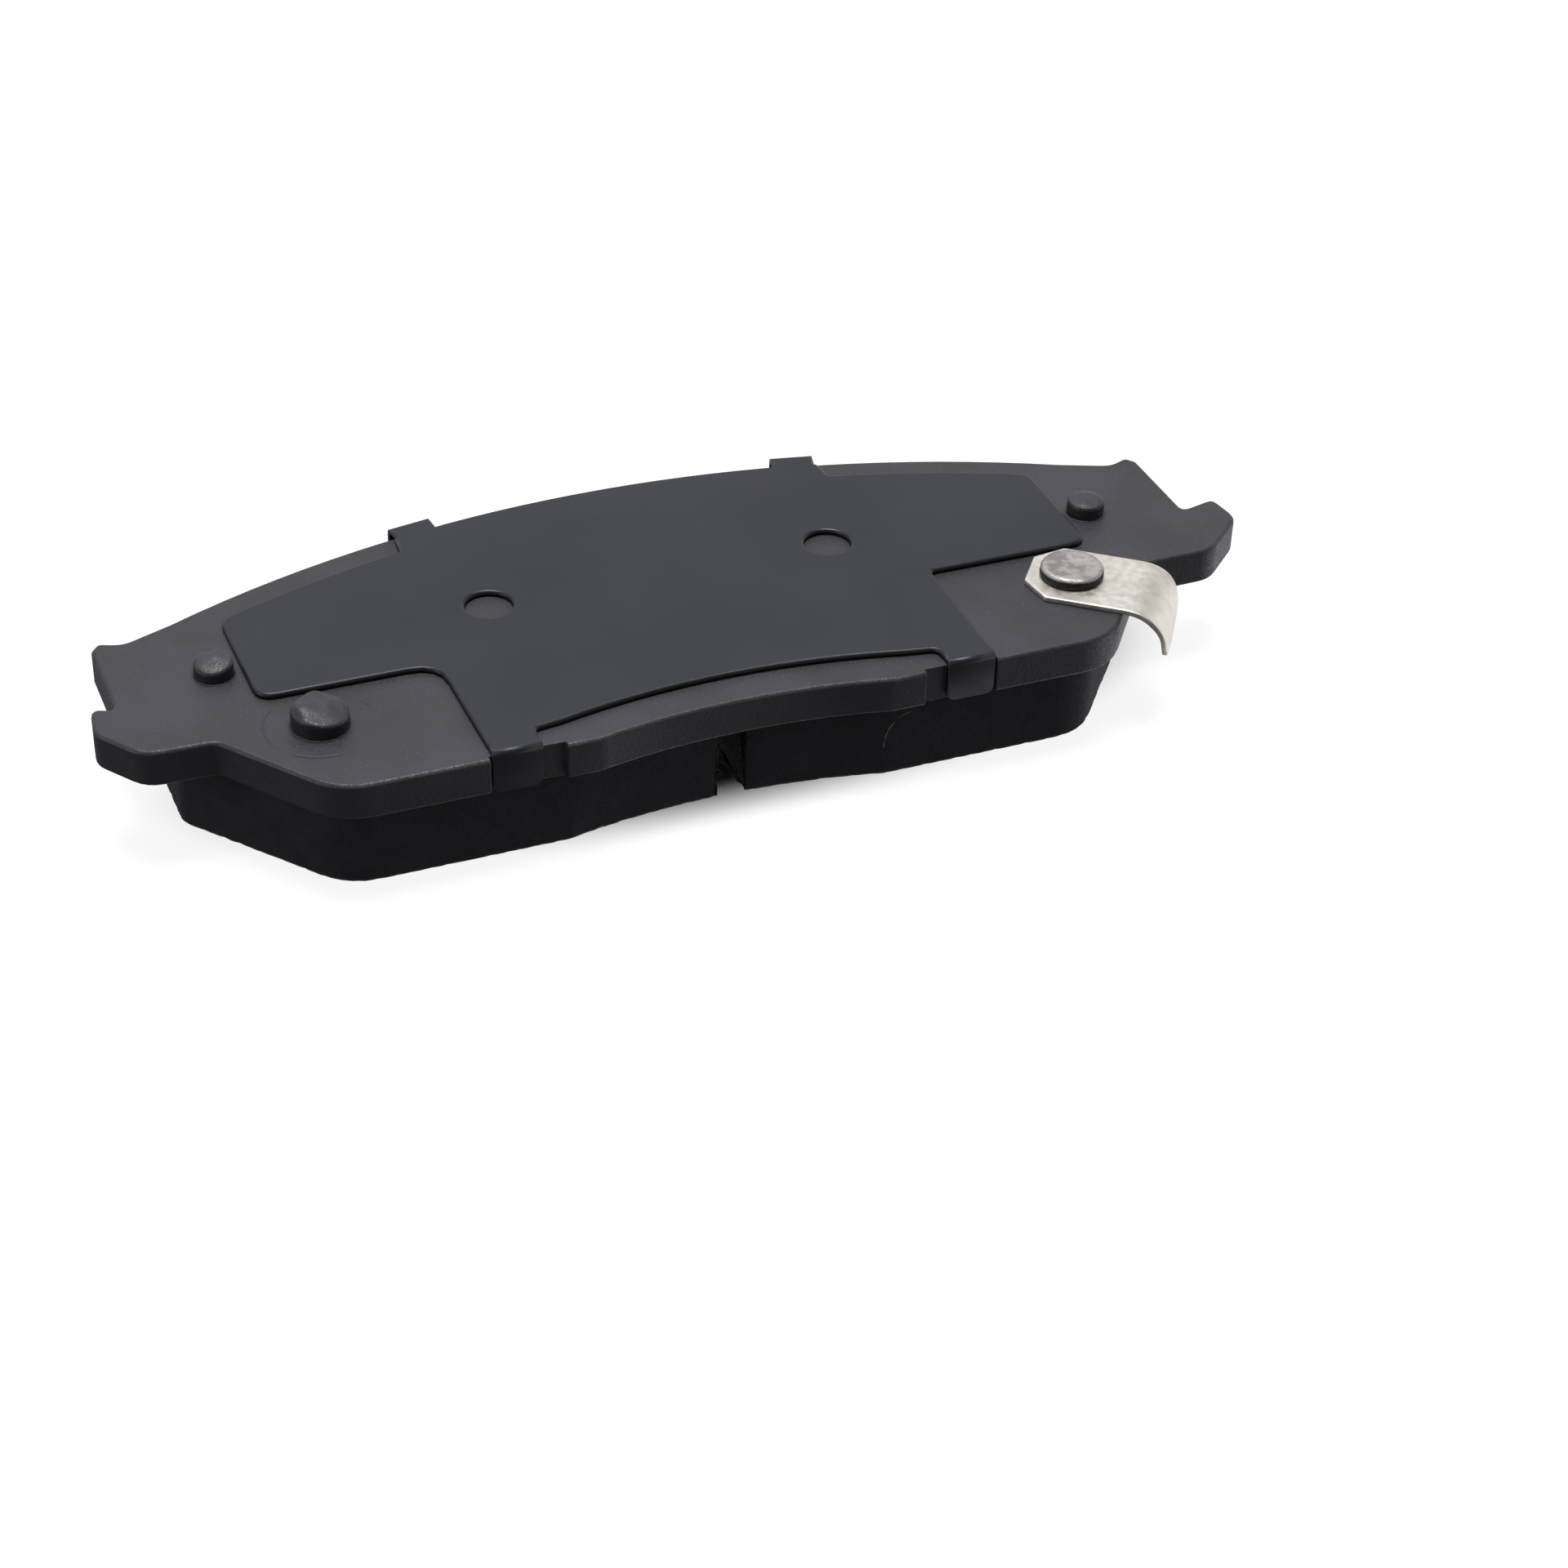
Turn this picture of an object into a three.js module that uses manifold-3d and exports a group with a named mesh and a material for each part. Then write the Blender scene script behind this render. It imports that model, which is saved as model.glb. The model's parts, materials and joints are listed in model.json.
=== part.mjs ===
// Disc brake pad, millimetres, +Z up. The pad lies on its friction face, z = 0. X runs along the pad, and +Y
// points to its convex outer edge. The pad is drawn about the line through the middle of its plate, and then
// moved so that the origin is under the middle of the whole.
import * as THREE from "three";
import { mergeVertices } from "three/addons/utils/BufferGeometryUtils.js";
import Module from "manifold-3d";

// ---- driving dimensions --------------------------------------------------------------------------------------
const LAYER_GAP = 0.02;        // left between layers that lie on each other
const SIDE_GAP = 0.3;          // left between pieces side by side

// Backing plate
const PLATE_THICKNESS = 5;
const OUTER_RADIUS = 145;      // convex edge
const OUTER_EDGE_Y = 28;       // top of the convex edge
const INNER_EDGE_Y = -28;      // flats on both sides of the concave edge
const CONCAVE_RISE = 2.1;      // middle of the concave edge above those flats
const EAR_FACE_X = 72.6;       // faces that bear on the caliper bracket
const HORN_Y = 12.4;
const HORN_RUN = 10.5;         // from the ear face to where the convex edge straightens towards the horn
const NOTCH_Y = -2.6;          // floor of the notch above each hook
const LEFT_HOOK_LENGTH = 3.3;  // how far the short hook reaches past its ear face
const RIGHT_HOOK_LENGTH = 5.7; // and the long one
const HOOK_RISE = 1.3;         // of a hook's tip above the notch
const HOOK_BOTTOM_Y = -13.2;
const NECK_INSET = 10.8;       // from the ear face to the inner corner under its hook
const SLANT_RUN = 11.1;        // along X, of the slanted edge from neck to near corner
const NEAR_SHIFT = -1.1;       // necks, slanted edges and friction block sit this far off the plate's middle
const NEAR_CORNER_ROUND = 8.5; // fillet of the two near corners, on plate and block alike
const EDGE_ROLL = 0.35;        // small bevel round both faces

// Pressed pegs on the back of the plate
const SMALL_PEG_INSET = 13;    // from the ear face
const SMALL_PEG_Y = 1;
const SMALL_PEG_DIAMETER = 5;
const SMALL_PEG_HEIGHT = 2.3;
const LARGE_PEG_DIAMETER = 7.2;
const LARGE_PEG_HEIGHT = 2.7;

// Underlayer and friction block
const FRICTION_HEIGHT = 10;
const UNDERLAYER_HEIGHT = 2;
const FRICTION_INSET = 2.5;    // from the plate's convex edge
const FRICTION_END_REACH = 3.3; // how far its ends reach past the necks
const FRICTION_END_TOP_Y = 4;
const FRICTION_END_BOTTOM_Y = -4.7;
const FRICTION_CORNER_INSET = 1.3;
const FRICTION_NEAR_INSET = 3.8;
const FRICTION_RISE = 2.4;     // middle of its concave edge above its near flats
const UNDERLAYER_FLARE = 0.35; // the underlayer spreads a little past the block
const SLOT_WIDTH = 3.4;
const SLOT_DEPTH = 9;

// Shim
const SHIM_THICKNESS = 0.6;
const LINER_THICKNESS = 0.2;
const SHIM_INSET = 4.6;        // from the convex edge, outside the tabs
const SHIM_PEG_CLEARANCE = 0.9;
const SHIM_RIVET_CLEARANCE = 7; // from the rivet's middle to the lower edge of the side wings
const SHIM_SHOULDER = 0.35;    // from a near tab to the edge of the middle part
const SHIM_NEAR_INSET = 5;     // from the concave edge
const SHIM_EDGE_MARGIN = 1.2;  // from the convex edge, between the tabs
const SHIM_TAB_WIDTH = 6.3;
const SHIM_TAB_DROP = 5;       // how far a tab reaches below the plate's back face
const NEAR_TAB_X = 29.8;
const FAR_TAB_X = 27;
const FAR_TAB_WIDTH = 5.8;
const FAR_TAB_GAP = 0.8;       // the far tabs stand clear of the convex edge
const TAB_POCKET_ROOM = 3.1;   // beside a near tab, towards the middle
const SHIM_HOLE_X = 23.3;
const SHIM_HOLE_Y = 4;
const SHIM_HOLE_DIAMETER = 6.2;

// Wear indicator and its rivet
const INDICATOR_THICKNESS = 0.7;
const INDICATOR_WIDTH = 12.8;
const INDICATOR_HEEL = 5.6;    // from the rivet to the leaf's square end
const INDICATOR_OVERHANG = 1.3; // straight past the slanted edge before it curls down
const INDICATOR_CURL_RADIUS = 3.2;
const INDICATOR_REACH = 9;     // how far the tip hangs below the plate's back face
const INDICATOR_TIP_WIDTH = 2.6;
const RIVET_SETBACK = 8;       // from the plate's slanted edge
const RIVET_SHIFT = 2.4;       // from that edge's middle, towards the neck
const RIVET_HEAD_DIAMETER = 8.4;
const RIVET_HEAD_HEIGHT = 1.5;
const RIVET_SHANK_DIAMETER = 4;
const RIVET_SHANK_LENGTH = 4;
const RIVET_CLEARANCE = 0.15;

// ---- worked out from them ------------------------------------------------------------------------------------
const ARC_CENTRE_Y = OUTER_EDGE_Y - OUTER_RADIUS;
const INNER_RADIUS = INNER_EDGE_Y + CONCAVE_RISE - ARC_CENTRE_Y;
const NECK_X = EAR_FACE_X - NECK_INSET;
const NECK_Y = HOOK_BOTTOM_Y - 0.2;
const NEAR_CORNER_X = NECK_X - SLANT_RUN;
const SMALL_PEG_X = EAR_FACE_X - SMALL_PEG_INSET;
const FRICTION_END_X = NECK_X + FRICTION_END_REACH;
const FRICTION_NEAR_X = NEAR_CORNER_X - FRICTION_CORNER_INSET;
const FRICTION_NEAR_Y = INNER_EDGE_Y + FRICTION_NEAR_INSET;
const FRICTION_INNER_RADIUS = FRICTION_NEAR_Y + FRICTION_RISE - ARC_CENTRE_Y;
const UNDERLAYER_Z = FRICTION_HEIGHT + LAYER_GAP;
const PLATE_Z = UNDERLAYER_Z + UNDERLAYER_HEIGHT + LAYER_GAP;
const BACK_Z = PLATE_Z + PLATE_THICKNESS;
const LINER_Z = BACK_Z + LAYER_GAP;
const SHIM_Z = LINER_Z + LINER_THICKNESS + LAYER_GAP;
const TAB_POCKET_DEPTH = SHIM_THICKNESS + SIDE_GAP;
const TAB_POCKET_OUTER_X = NEAR_TAB_X + SHIM_TAB_WIDTH / 2 + SIDE_GAP;
const TAB_POCKET_INNER_X = NEAR_TAB_X - SHIM_TAB_WIDTH / 2 - TAB_POCKET_ROOM;
const INDICATOR_Z = BACK_Z + LAYER_GAP;
const INDICATOR_TURN = Math.atan2(NEAR_CORNER_X - NECK_X, NECK_Y - INNER_EDGE_Y);
const TURN_COS = Math.cos(INDICATOR_TURN);
const TURN_SIN = Math.sin(INDICATOR_TURN);
const SLANT_X = (NECK_X + NEAR_CORNER_X) / 2 + NEAR_SHIFT;
const SLANT_Y = (NECK_Y + INNER_EDGE_Y) / 2;
const RIVET_X = SLANT_X - RIVET_SETBACK * TURN_COS - RIVET_SHIFT * TURN_SIN;
const RIVET_Y = SLANT_Y - RIVET_SETBACK * TURN_SIN + RIVET_SHIFT * TURN_COS;
const LARGE_PEG_X = -RIVET_X;  // the same pressing as the rivet's seat, on the other side
const LARGE_PEG_Y = RIVET_Y;
const SHIM_END_X = SMALL_PEG_X - SMALL_PEG_DIAMETER / 2 - SHIM_PEG_CLEARANCE;
const SHIM_STEP_Y = RIVET_Y + SHIM_RIVET_CLEARANCE;
const SHIM_WAIST_X = NEAR_TAB_X + SHIM_TAB_WIDTH / 2 + SHIM_SHOULDER;

const wasm = await Module();
wasm.setup();

function toSolid(geometry) {
  const bare = geometry.clone();
  bare.deleteAttribute("normal");
  bare.deleteAttribute("uv");
  const merged = mergeVertices(bare, 1e-4);
  return new wasm.Manifold(new wasm.Mesh({
    numProp: 3,
    vertProperties: new Float32Array(merged.attributes.position.array),
    triVerts: new Uint32Array(merged.index.array),
  }));
}

function toGeometry(solid) {
  const mesh = solid.getMesh();
  const geometry = new THREE.BufferGeometry();
  geometry.setAttribute("position", new THREE.BufferAttribute(mesh.vertProperties, 3));
  geometry.setIndex(new THREE.BufferAttribute(mesh.triVerts, 1));
  geometry.computeVertexNormals();
  return geometry;
}

// The y of an arc about the pad's arc centre.
function arcY(radius, x) {
  return ARC_CENTRE_Y + Math.sqrt(radius * radius - x * x);
}

// The half width at which such an arc is at height y.
function arcX(radius, y) {
  return Math.sqrt(radius * radius - (y - ARC_CENTRE_Y) ** 2);
}

// Points along such an arc, from x0 to x1.
function arcPoints(radius, x0, x1, count) {
  const points = [];
  for (let i = 0; i <= count; i++) {
    const x = x0 + ((x1 - x0) * i) / count;
    points.push([x, arcY(radius, x), 0]);
  }
  return points;
}

// A closed outline through corners [x, y, fillet radius].
function outline(corners) {
  const shape = new THREE.Shape();
  corners.forEach(([x, y, radius], i) => {
    const here = new THREE.Vector2(x, y);
    const [bx, by] = corners[(i + corners.length - 1) % corners.length];
    const [ax, ay] = corners[(i + 1) % corners.length];
    const back = new THREE.Vector2(bx, by).sub(here);
    const ahead = new THREE.Vector2(ax, ay).sub(here);
    const half = Math.acos(back.dot(ahead) / (back.length() * ahead.length())) / 2;
    const wanted = radius / Math.tan(half);
    const reach = Math.min(wanted, 0.49 * back.length(), 0.49 * ahead.length());
    const start = here.clone().addScaledVector(back.normalize(), reach);
    const end = here.clone().addScaledVector(ahead.normalize(), reach);
    if (i === 0) shape.moveTo(start.x, start.y);
    else shape.lineTo(start.x, start.y);
    if (reach > 0.01) shape.quadraticCurveTo(here.x, here.y, end.x, end.y);
  });
  shape.closePath();
  return shape;
}

// The right half of an outline, from the far middle round to the near middle, and its mirror image.
function bothHalves(right, left = right) {
  const mirrored = left.map(([x, y, radius]) => [-x, y, radius]).reverse();
  return outline([...right, ...mirrored]);
}

function slab(shape, z0, z1, roll = 0, curveSegments = 4) {
  const depth = z1 - z0 - 2 * roll;
  const geometry = new THREE.ExtrudeGeometry(shape, {
    depth,
    bevelEnabled: roll > 0,
    bevelThickness: roll,
    bevelSize: roll,
    bevelOffset: -roll,
    bevelSegments: 1,
    curveSegments,
  });
  geometry.translate(0, 0, z0 + roll);
  return toSolid(geometry);
}

function upright(diameter, x, y, z0, z1, sides = 32) {
  const geometry = new THREE.CylinderGeometry(diameter / 2, diameter / 2, z1 - z0, sides);
  geometry.rotateX(Math.PI / 2);
  geometry.translate(x, y, (z0 + z1) / 2);
  return toSolid(geometry);
}

function box(x0, x1, y0, y1, z0, z1) {
  const geometry = new THREE.BoxGeometry(x1 - x0, y1 - y0, z1 - z0);
  geometry.translate((x0 + x1) / 2, (y0 + y1) / 2, (z0 + z1) / 2);
  return toSolid(geometry);
}

// ---- backing plate ---------------------------------------------------------------------------------------------
// One half of the plate's outline, as for the right side. shift is how far its neck and slanted edge move out.
function plateHalf(hookLength, shift) {
  const hookX = EAR_FACE_X + hookLength;
  const flatX = arcX(INNER_RADIUS, INNER_EDGE_Y);
  return [
    ...arcPoints(OUTER_RADIUS, 0.5, EAR_FACE_X - HORN_RUN, 16),
    [EAR_FACE_X - 4, HORN_Y - 0.9, 3],
    [EAR_FACE_X - 1.1, HORN_Y + 0.2, 0.8],
    [EAR_FACE_X, HORN_Y - 1.2, 0.8],
    [EAR_FACE_X, NOTCH_Y, 0.8],
    [hookX - 0.5, NOTCH_Y + HOOK_RISE, 1.2],
    [hookX + 0.3, NOTCH_Y - 4.2, 3.2],
    [EAR_FACE_X - 1, HOOK_BOTTOM_Y, 4.5],
    [NECK_X + shift, NECK_Y, 2],
    [NEAR_CORNER_X + shift, INNER_EDGE_Y, NEAR_CORNER_ROUND],
    [flatX, INNER_EDGE_Y, 0],
    ...arcPoints(INNER_RADIUS, flatX - 1, 0.5, 8),
  ];
}

// The recess for a near tab. It is wider than the tab on the side towards the middle.
function tabPocket(side) {
  const x0 = Math.min(side * TAB_POCKET_INNER_X, side * TAB_POCKET_OUTER_X);
  const x1 = Math.max(side * TAB_POCKET_INNER_X, side * TAB_POCKET_OUTER_X);
  return box(x0, x1, INNER_EDGE_Y - 5, INNER_EDGE_Y + TAB_POCKET_DEPTH, PLATE_Z - 1, BACK_Z + 1);
}

function peg(diameter, height, x, y) {
  const r = diameter / 2;
  const profile = [
    [0, -1],
    [r, -1],
    [r, height - 0.5],
    [r - 0.25, height - 0.25],
    [0, height],
  ].map(([px, py]) => new THREE.Vector2(px, py));
  const geometry = new THREE.LatheGeometry(profile, 28);
  geometry.rotateX(Math.PI / 2);
  geometry.translate(x, y, BACK_Z);
  return toSolid(geometry);
}

function backingPlate() {
  const bore = RIVET_SHANK_DIAMETER + 2 * RIVET_CLEARANCE;
  const boreFloor = INDICATOR_Z + INDICATOR_THICKNESS - RIVET_SHANK_LENGTH - RIVET_CLEARANCE;
  const rightHalf = plateHalf(RIGHT_HOOK_LENGTH, NEAR_SHIFT);
  const leftHalf = plateHalf(LEFT_HOOK_LENGTH, -NEAR_SHIFT);
  return slab(bothHalves(rightHalf, leftHalf), PLATE_Z, BACK_Z, EDGE_ROLL)
    .subtract(tabPocket(-1))
    .subtract(tabPocket(1))
    .subtract(upright(bore, RIVET_X, RIVET_Y, boreFloor, BACK_Z + 1, 24))
    .add(peg(LARGE_PEG_DIAMETER, LARGE_PEG_HEIGHT, LARGE_PEG_X, LARGE_PEG_Y))
    .add(peg(SMALL_PEG_DIAMETER, SMALL_PEG_HEIGHT, -SMALL_PEG_X, SMALL_PEG_Y))
    .add(peg(SMALL_PEG_DIAMETER, SMALL_PEG_HEIGHT, SMALL_PEG_X, SMALL_PEG_Y));
}

// ---- friction block and underlayer -----------------------------------------------------------------------------
function frictionOutline(spread = 0) {
  const outer = OUTER_RADIUS - FRICTION_INSET + spread;
  const inner = FRICTION_INNER_RADIUS - spread;
  const nearY = FRICTION_NEAR_Y - spread;
  const endX = FRICTION_END_X + spread;
  const flatX = arcX(inner, nearY);
  const farX = endX - 3.6;
  return bothHalves([
    ...arcPoints(outer, 0.5, farX - 3, 14),
    [farX, arcY(outer, farX), 1.5],
    [endX, FRICTION_END_TOP_Y, 2.5],
    [endX, FRICTION_END_BOTTOM_Y, 4],
    [FRICTION_NEAR_X + spread, nearY, NEAR_CORNER_ROUND],
    ...arcPoints(inner, flatX, 0.5, 8),
  ]);
}

function frictionBlock() {
  const half = SLOT_WIDTH / 2;
  return slab(frictionOutline(), 0, FRICTION_HEIGHT)
    .translate(NEAR_SHIFT, 0, 0)
    .subtract(box(-half, half, 2 * INNER_EDGE_Y, 2 * OUTER_EDGE_Y, -1, SLOT_DEPTH));
}

function underlayer() {
  return slab(frictionOutline(UNDERLAYER_FLARE), UNDERLAYER_Z, UNDERLAYER_Z + UNDERLAYER_HEIGHT)
    .translate(NEAR_SHIFT, 0, 0);
}

// ---- shim ------------------------------------------------------------------------------------------------------
// Half of the sheet's outline. Its inner corners differ from side to side: waistFillet is the one beside the
// exposed part of the plate, and tabFillet the one where the near edge meets a tab. The far part between the
// tabs reaches almost to the plate's edge.
function shimHalf(inset, waistFillet, tabFillet) {
  const farStep = FAR_TAB_X + FAR_TAB_WIDTH / 2 - inset;
  const wing = OUTER_RADIUS - SHIM_INSET - inset;
  const endX = SHIM_END_X - inset;
  const waistX = SHIM_WAIST_X - inset;
  const near = INNER_RADIUS + SHIM_NEAR_INSET + inset;
  const tabX0 = NEAR_TAB_X - SHIM_TAB_WIDTH / 2 + inset;
  const tabY = INNER_EDGE_Y + TAB_POCKET_DEPTH + 1.2 + inset;
  return [
    ...arcPoints(OUTER_RADIUS - SHIM_EDGE_MARGIN - inset, 0.5, farStep, 8),
    [farStep + 0.3, arcY(wing, farStep + 0.3), 0.6],
    ...arcPoints(wing, farStep + 3, endX - 3, 8),
    [endX, arcY(wing, endX), 2.4],
    [endX, SHIM_STEP_Y + inset, 2.6],
    [waistX, SHIM_STEP_Y + inset, waistFillet],
    [waistX - 0.3, tabY, 0.3],
    [tabX0, tabY, 0.3],
    [tabX0 - 0.3, arcY(near, tabX0 - 1.8), tabFillet],
    ...arcPoints(near, tabX0 - 4, 0.5, 8),
  ];
}

function shimSheet(inset, z0, z1) {
  const shape = bothHalves(shimHalf(inset, 0.8, 2.6), shimHalf(inset, 4, 0.6));
  let sheet = slab(shape, z0, z1);
  for (const x of [-SHIM_HOLE_X, SHIM_HOLE_X]) {
    sheet = sheet.subtract(upright(SHIM_HOLE_DIAMETER + 2 * inset, x, SHIM_HOLE_Y, z0 - 1, z1 + 1, 28));
  }
  return sheet;
}

// A tab bent down over an edge, made as the strip's side view swept across its width. It laps onto the sheet, and
// its inner face lies `face` from the local origin along -Y. Its lower corners are rounded.
function bentTab(width, face) {
  const t = SHIM_THICKNESS;
  const innerBend = 0.3;
  const lap = 3;
  const foot = BACK_Z - SHIM_TAB_DROP;
  const top = SHIM_Z + t;
  const side = new THREE.Shape();
  side.moveTo(lap - face, SHIM_Z);
  side.lineTo(innerBend - face, SHIM_Z);
  side.quadraticCurveTo(-face, SHIM_Z, -face, SHIM_Z - innerBend);
  side.lineTo(-face, foot);
  side.lineTo(-face - t, foot);
  side.lineTo(-face - t, top - innerBend - t);
  side.quadraticCurveTo(-face - t, top, innerBend - face, top);
  side.lineTo(lap - face, top);
  side.closePath();
  const strip = new THREE.ExtrudeGeometry(side, { depth: width, bevelEnabled: false, curveSegments: 4 });
  strip.rotateX(Math.PI / 2);
  strip.rotateZ(Math.PI / 2);
  strip.translate(-width / 2, 0, 0);
  const front = outline([
    [-width / 2, foot, 1.2],
    [width / 2, foot, 1.2],
    [width / 2, top + 1, 0],
    [-width / 2, top + 1, 0],
  ]);
  const mask = new THREE.ExtrudeGeometry(front, { depth: 20, bevelEnabled: false, curveSegments: 4 });
  mask.rotateX(Math.PI / 2);
  mask.translate(0, 10 - face, 0);
  return { strip, mask };
}

function placedTab(width, face, turn, x, y) {
  const parts = Object.values(bentTab(width, face)).map((geometry) => {
    geometry.rotateZ(turn);
    geometry.translate(x, y, 0);
    return toSolid(geometry);
  });
  return parts[0].intersect(parts[1]);
}

function shim() {
  const gap = SIDE_GAP / 2;
  let sheet = shimSheet(0, SHIM_Z, SHIM_Z + SHIM_THICKNESS);
  for (const side of [-1, 1]) {
    const nearFace = -(INNER_EDGE_Y + TAB_POCKET_DEPTH - gap);
    sheet = sheet.add(placedTab(SHIM_TAB_WIDTH, nearFace, 0, side * NEAR_TAB_X, 0));
    const turn = Math.PI - Math.asin((side * FAR_TAB_X) / OUTER_RADIUS);
    sheet = sheet.add(placedTab(FAR_TAB_WIDTH, OUTER_RADIUS + FAR_TAB_GAP, turn, 0, ARC_CENTRE_Y));
  }
  return sheet;
}

function shimLiner() {
  return shimSheet(SIDE_GAP, LINER_Z, LINER_Z + LINER_THICKNESS);
}

// ---- wear indicator --------------------------------------------------------------------------------------------
// The leaf is drawn in its own frame: X the way it points, from the rivet, Z up from its underside. It points
// square across the plate's slanted edge, between the neck and the near corner, and curls down just past it.
function placedLeaf(geometry) {
  geometry.rotateZ(INDICATOR_TURN);
  geometry.translate(RIVET_X, RIVET_Y, INDICATOR_Z);
  return toSolid(geometry);
}

function indicatorFoot() {
  const half = INDICATOR_WIDTH / 2;
  const end = RIVET_SETBACK - SIDE_GAP;
  const shape = outline([
    [end, half, 0],
    [-INDICATOR_HEEL + 3.4, half, 0.6],
    [-INDICATOR_HEEL, half - 3.4, 0.6],
    [-INDICATOR_HEEL, 3.4 - half, 0.6],
    [-INDICATOR_HEEL + 3.4, -half, 0.6],
    [end, -half, 0],
  ]);
  const sheet = new THREE.ExtrudeGeometry(shape, { depth: INDICATOR_THICKNESS, bevelEnabled: false });
  const hole = RIVET_SHANK_DIAMETER + 2 * RIVET_CLEARANCE;
  return placedLeaf(sheet).subtract(upright(hole, RIVET_X, RIVET_Y, INDICATOR_Z - 1, INDICATOR_Z + 3, 24));
}

function indicatorLeaf() {
  const t = INDICATOR_THICKNESS;
  const start = RIVET_SETBACK - SIDE_GAP / 2;
  const curl = RIVET_SETBACK + INDICATOR_OVERHANG;
  const inner = INDICATOR_CURL_RADIUS - t / 2;
  const outer = inner + t;
  const side = new THREE.Shape();
  side.moveTo(start, 0);
  side.lineTo(start, t);
  side.lineTo(curl, t);
  side.absarc(curl, -inner, outer, Math.PI / 2, 0, true);
  side.lineTo(curl + outer, -INDICATOR_REACH);
  side.lineTo(curl + inner, -INDICATOR_REACH);
  side.lineTo(curl + inner, -inner);
  side.absarc(curl, -inner, inner, 0, Math.PI / 2, false);
  side.closePath();
  const depth = INDICATOR_WIDTH;
  const strip = new THREE.ExtrudeGeometry(side, { depth, bevelEnabled: false, curveSegments: 12 });
  strip.rotateX(Math.PI / 2);
  strip.translate(0, depth / 2, 0);
  const half = INDICATOR_WIDTH / 2;
  const tip = INDICATOR_TIP_WIDTH / 2;
  const front = outline([
    [-half, 2, 0],
    [-half, -0.1 * INDICATOR_REACH, 3],
    [-tip, -INDICATOR_REACH, 0.8],
    [tip, -INDICATOR_REACH, 0.8],
    [half, -0.1 * INDICATOR_REACH, 3],
    [half, 2, 0],
  ]);
  const mask = new THREE.ExtrudeGeometry(front, { depth: 30, bevelEnabled: false, curveSegments: 6 });
  mask.rotateX(Math.PI / 2);
  mask.rotateZ(Math.PI / 2);
  return placedLeaf(strip).intersect(placedLeaf(mask));
}

function indicatorRivet() {
  const head = RIVET_HEAD_DIAMETER / 2;
  const high = RIVET_HEAD_HEIGHT;
  const shank = RIVET_SHANK_DIAMETER / 2;
  const profile = [
    [0, -RIVET_SHANK_LENGTH],
    [shank, -RIVET_SHANK_LENGTH],
    [shank, 0],
    [head, 0],
    [head, 0.6 * high],
    [head - 0.4, 0.88 * high],
    [head - 1.4, high],
    [0, high],
  ].map(([x, y]) => new THREE.Vector2(x, y));
  const geometry = new THREE.LatheGeometry(profile, 32);
  geometry.rotateX(Math.PI / 2);
  geometry.translate(RIVET_X, RIVET_Y, INDICATOR_Z + INDICATOR_THICKNESS + LAYER_GAP);
  return toSolid(geometry);
}

// ---- the pad ---------------------------------------------------------------------------------------------------
function finish(color, roughness, metalness) {
  return new THREE.MeshStandardMaterial({ color, roughness, metalness });
}

const blackPaint = finish(0x2b2b2d, 0.6, 0.1);
const frictionGrey = finish(0x6e6b66, 0.9, 0.05);
const layerGrey = finish(0x35343a, 0.85, 0.05);
const shimBlack = finish(0x33363b, 0.4, 0.4);
const linerBlack = finish(0x1c1d1f, 0.8, 0);
const springSteel = finish(0xd8d4cb, 0.35, 0.9);
const bareSteel = finish(0xb9b5ad, 0.45, 0.9);

const pad = new THREE.Group();

function addPiece(name, solid, material) {
  const mesh = new THREE.Mesh(toGeometry(solid), material);
  mesh.name = name;
  pad.add(mesh);
}

addPiece("friction_block", frictionBlock(), frictionGrey);
addPiece("underlayer", underlayer(), layerGrey);
addPiece("backing_plate", backingPlate(), blackPaint);
addPiece("shim_liner", shimLiner(), linerBlack);
addPiece("shim", shim(), shimBlack);
addPiece("wear_indicator_foot", indicatorFoot(), springSteel);
addPiece("wear_indicator_leaf", indicatorLeaf(), springSteel);
addPiece("indicator_rivet", indicatorRivet(), bareSteel);

pad.position.x = -new THREE.Box3().setFromObject(pad).getCenter(new THREE.Vector3()).x;

export default pad;
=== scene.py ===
import json
import math

import bmesh
import bpy
from mathutils import Matrix, Vector, noise


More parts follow.
